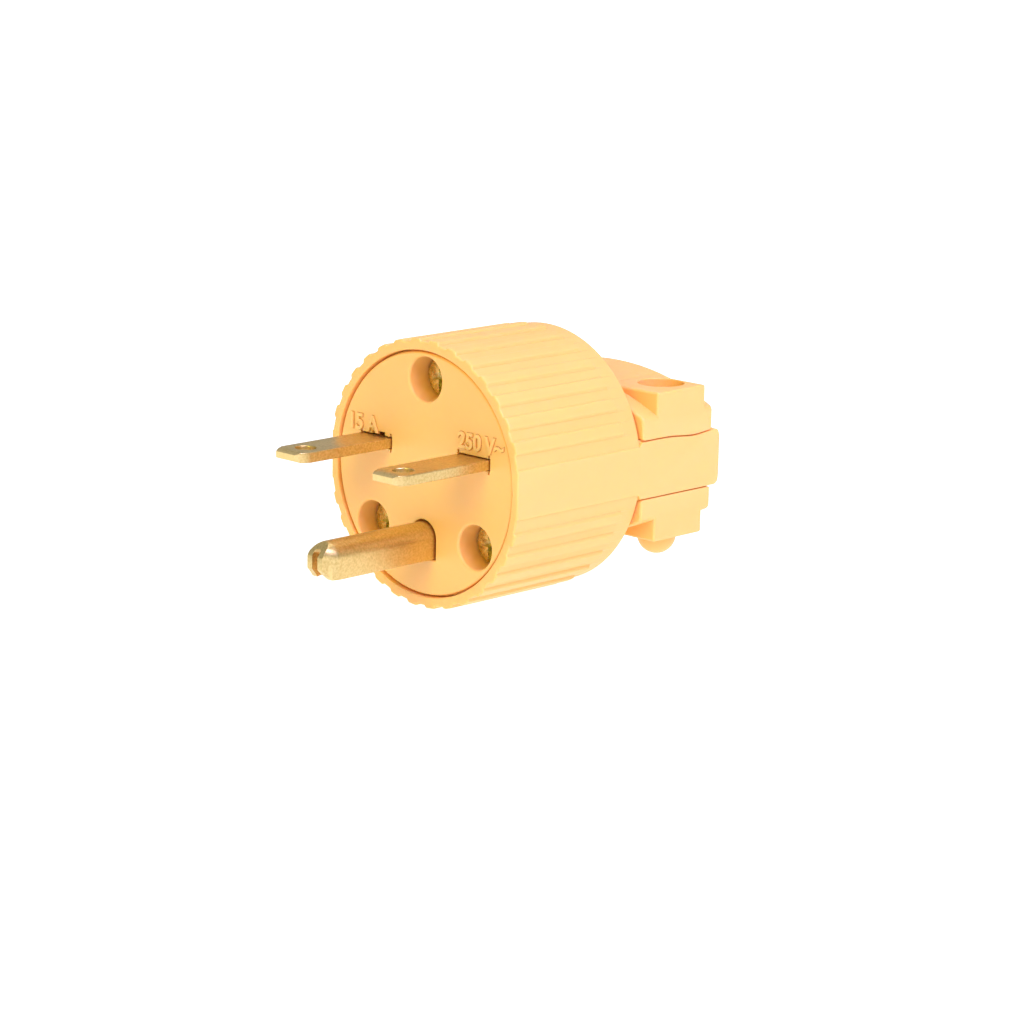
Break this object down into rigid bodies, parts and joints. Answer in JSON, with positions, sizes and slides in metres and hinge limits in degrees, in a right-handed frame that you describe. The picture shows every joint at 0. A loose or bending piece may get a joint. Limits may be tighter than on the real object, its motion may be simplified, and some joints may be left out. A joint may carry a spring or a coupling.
{
  "type": "attachment plug",
  "caption": "Rewirable attachment plug with flat coplanar blades, a U-shaped ground pin, a ribbed round grip, recessed face screws and a screw-down cord clamp.",
  "frame": {"origin": "centre of the face disc's front face, which lies against the outlet", "axes": "-X out of the face, along the blades; +X towards the cord; +Z away from the ground pin"},
  "size_m": [0.0652, 0.0386, 0.0398],
  "materials": {
    "yellow_moulding": "moulded yellow plastic with a fine satin surface",
    "inner_insulator": "moulded cream insulating plastic",
    "contact_brass": "stamped brass, lightly brushed along its length",
    "plate_brass": "stamped brass",
    "screw_brass": "yellow passivated screw",
    "ground_green": "green dyed screw",
    "nut_steel": "zinc plated steel"
  },
  "bodies": {
    "housing": {"shell": "yellow_moulding"},
    "front_carrier": {"face_disc": "yellow_moulding", "terminal_block": "inner_insulator", "line_blade_near": "contact_brass", "line_blade_far": "contact_brass", "ground_pin": "contact_brass"},
    "top_assembly_screw": {"assembly_screw_top": "screw_brass"},
    "near_assembly_screw": {"assembly_screw_near": "screw_brass"},
    "far_assembly_screw": {"assembly_screw_far": "screw_brass"},
    "near_wire_plate": {"wire_plate_near": "plate_brass"},
    "far_wire_plate": {"wire_plate_far": "plate_brass"},
    "ground_plate": {"ground_wire_plate": "plate_brass"},
    "near_binding_screw": {"terminal_screw_near": "screw_brass"},
    "far_binding_screw": {"terminal_screw_far": "screw_brass"},
    "ground_binding_screw": {"ground_terminal_screw": "ground_green"},
    "upper_clamp": {"cord_clamp_upper": "yellow_moulding", "clamp_nut_far": "nut_steel"},
    "lower_clamp": {"cord_clamp_lower": "yellow_moulding", "clamp_nut_near": "nut_steel"},
    "near_clamp_screw": {"clamp_screw_near": "screw_brass"},
    "far_clamp_screw": {"clamp_screw_far": "screw_brass"}
  },
  "joints": [
    {"name": "front_carrier_slide", "type": "slide", "parent": "housing", "child": "front_carrier", "axis": [-1, 0, 0], "range_m": [0, 0.008]},
    {"name": "top_assembly_screw_turn", "type": "hinge", "parent": "front_carrier", "child": "top_assembly_screw", "pos_m": [0.0061, 0, 0.01397], "axis": [-1, 0, 0], "range_deg": [0, 2304]},
    {"name": "near_assembly_screw_turn", "type": "hinge", "parent": "front_carrier", "child": "near_assembly_screw", "pos_m": [0.0061, -0.01064, -0.00908], "axis": [-1, 0, 0], "range_deg": [0, 2304]},
    {"name": "far_assembly_screw_turn", "type": "hinge", "parent": "front_carrier", "child": "far_assembly_screw", "pos_m": [0.0061, 0.01064, -0.00908], "axis": [-1, 0, 0], "range_deg": [0, 2304]},
    {"name": "near_wire_plate_slide", "type": "slide", "parent": "front_carrier", "child": "near_wire_plate", "axis": [0, 0, 1], "range_m": [0, 0.0016]},
    {"name": "near_binding_screw_turn", "type": "hinge", "parent": "near_wire_plate", "child": "near_binding_screw", "pos_m": [0.0175, -0.0101, 0.0056], "axis": [0, 0, 1], "range_deg": [0, 720]},
    {"name": "far_wire_plate_slide", "type": "slide", "parent": "front_carrier", "child": "far_wire_plate", "axis": [0, 0, 1], "range_m": [0, 0.0016]},
    {"name": "far_binding_screw_turn", "type": "hinge", "parent": "far_wire_plate", "child": "far_binding_screw", "pos_m": [0.0175, 0.0101, 0.0056], "axis": [0, 0, 1], "range_deg": [0, 720]},
    {"name": "ground_plate_slide", "type": "slide", "parent": "front_carrier", "child": "ground_plate", "axis": [0, 0, -1], "range_m": [0, 0.0016]},
    {"name": "ground_binding_screw_turn", "type": "hinge", "parent": "ground_plate", "child": "ground_binding_screw", "pos_m": [0.0175, 0, -0.0094], "axis": [0, 0, -1], "range_deg": [0, 720]},
    {"name": "upper_clamp_slide", "type": "slide", "parent": "housing", "child": "upper_clamp", "axis": [0, 0, 1], "range_m": [0, 0.0024]},
    {"name": "lower_clamp_slide", "type": "slide", "parent": "housing", "child": "lower_clamp", "axis": [0, 0, -1], "range_m": [0, 0.0024]},
    {"name": "near_clamp_screw_turn", "type": "hinge", "parent": "upper_clamp", "child": "near_clamp_screw", "pos_m": [0.03575, -0.01375, 0.0065], "axis": [0, 0, 1], "range_deg": [0, 2160]},
    {"name": "far_clamp_screw_turn", "type": "hinge", "parent": "lower_clamp", "child": "far_clamp_screw", "pos_m": [0.03575, 0.01375, -0.0065], "axis": [0, 0, -1], "range_deg": [0, 2160]}
  ],
  "couplings": [
    {"joint": "top_assembly_screw_turn", "follows": "front_carrier_slide", "rad_per_m": 5026.5},
    {"joint": "near_assembly_screw_turn", "follows": "front_carrier_slide", "rad_per_m": 5026.5},
    {"joint": "far_assembly_screw_turn", "follows": "front_carrier_slide", "rad_per_m": 5026.5},
    {"joint": "near_binding_screw_turn", "follows": "near_wire_plate_slide", "rad_per_m": 7854},
    {"joint": "far_binding_screw_turn", "follows": "far_wire_plate_slide", "rad_per_m": 7854},
    {"joint": "ground_binding_screw_turn", "follows": "ground_plate_slide", "rad_per_m": 7854},
    {"joint": "lower_clamp_slide", "follows": "upper_clamp_slide", "ratio": 1},
    {"joint": "near_clamp_screw_turn", "follows": "upper_clamp_slide", "rad_per_m": 15708},
    {"joint": "far_clamp_screw_turn", "follows": "upper_clamp_slide", "rad_per_m": 15708}
  ]
}
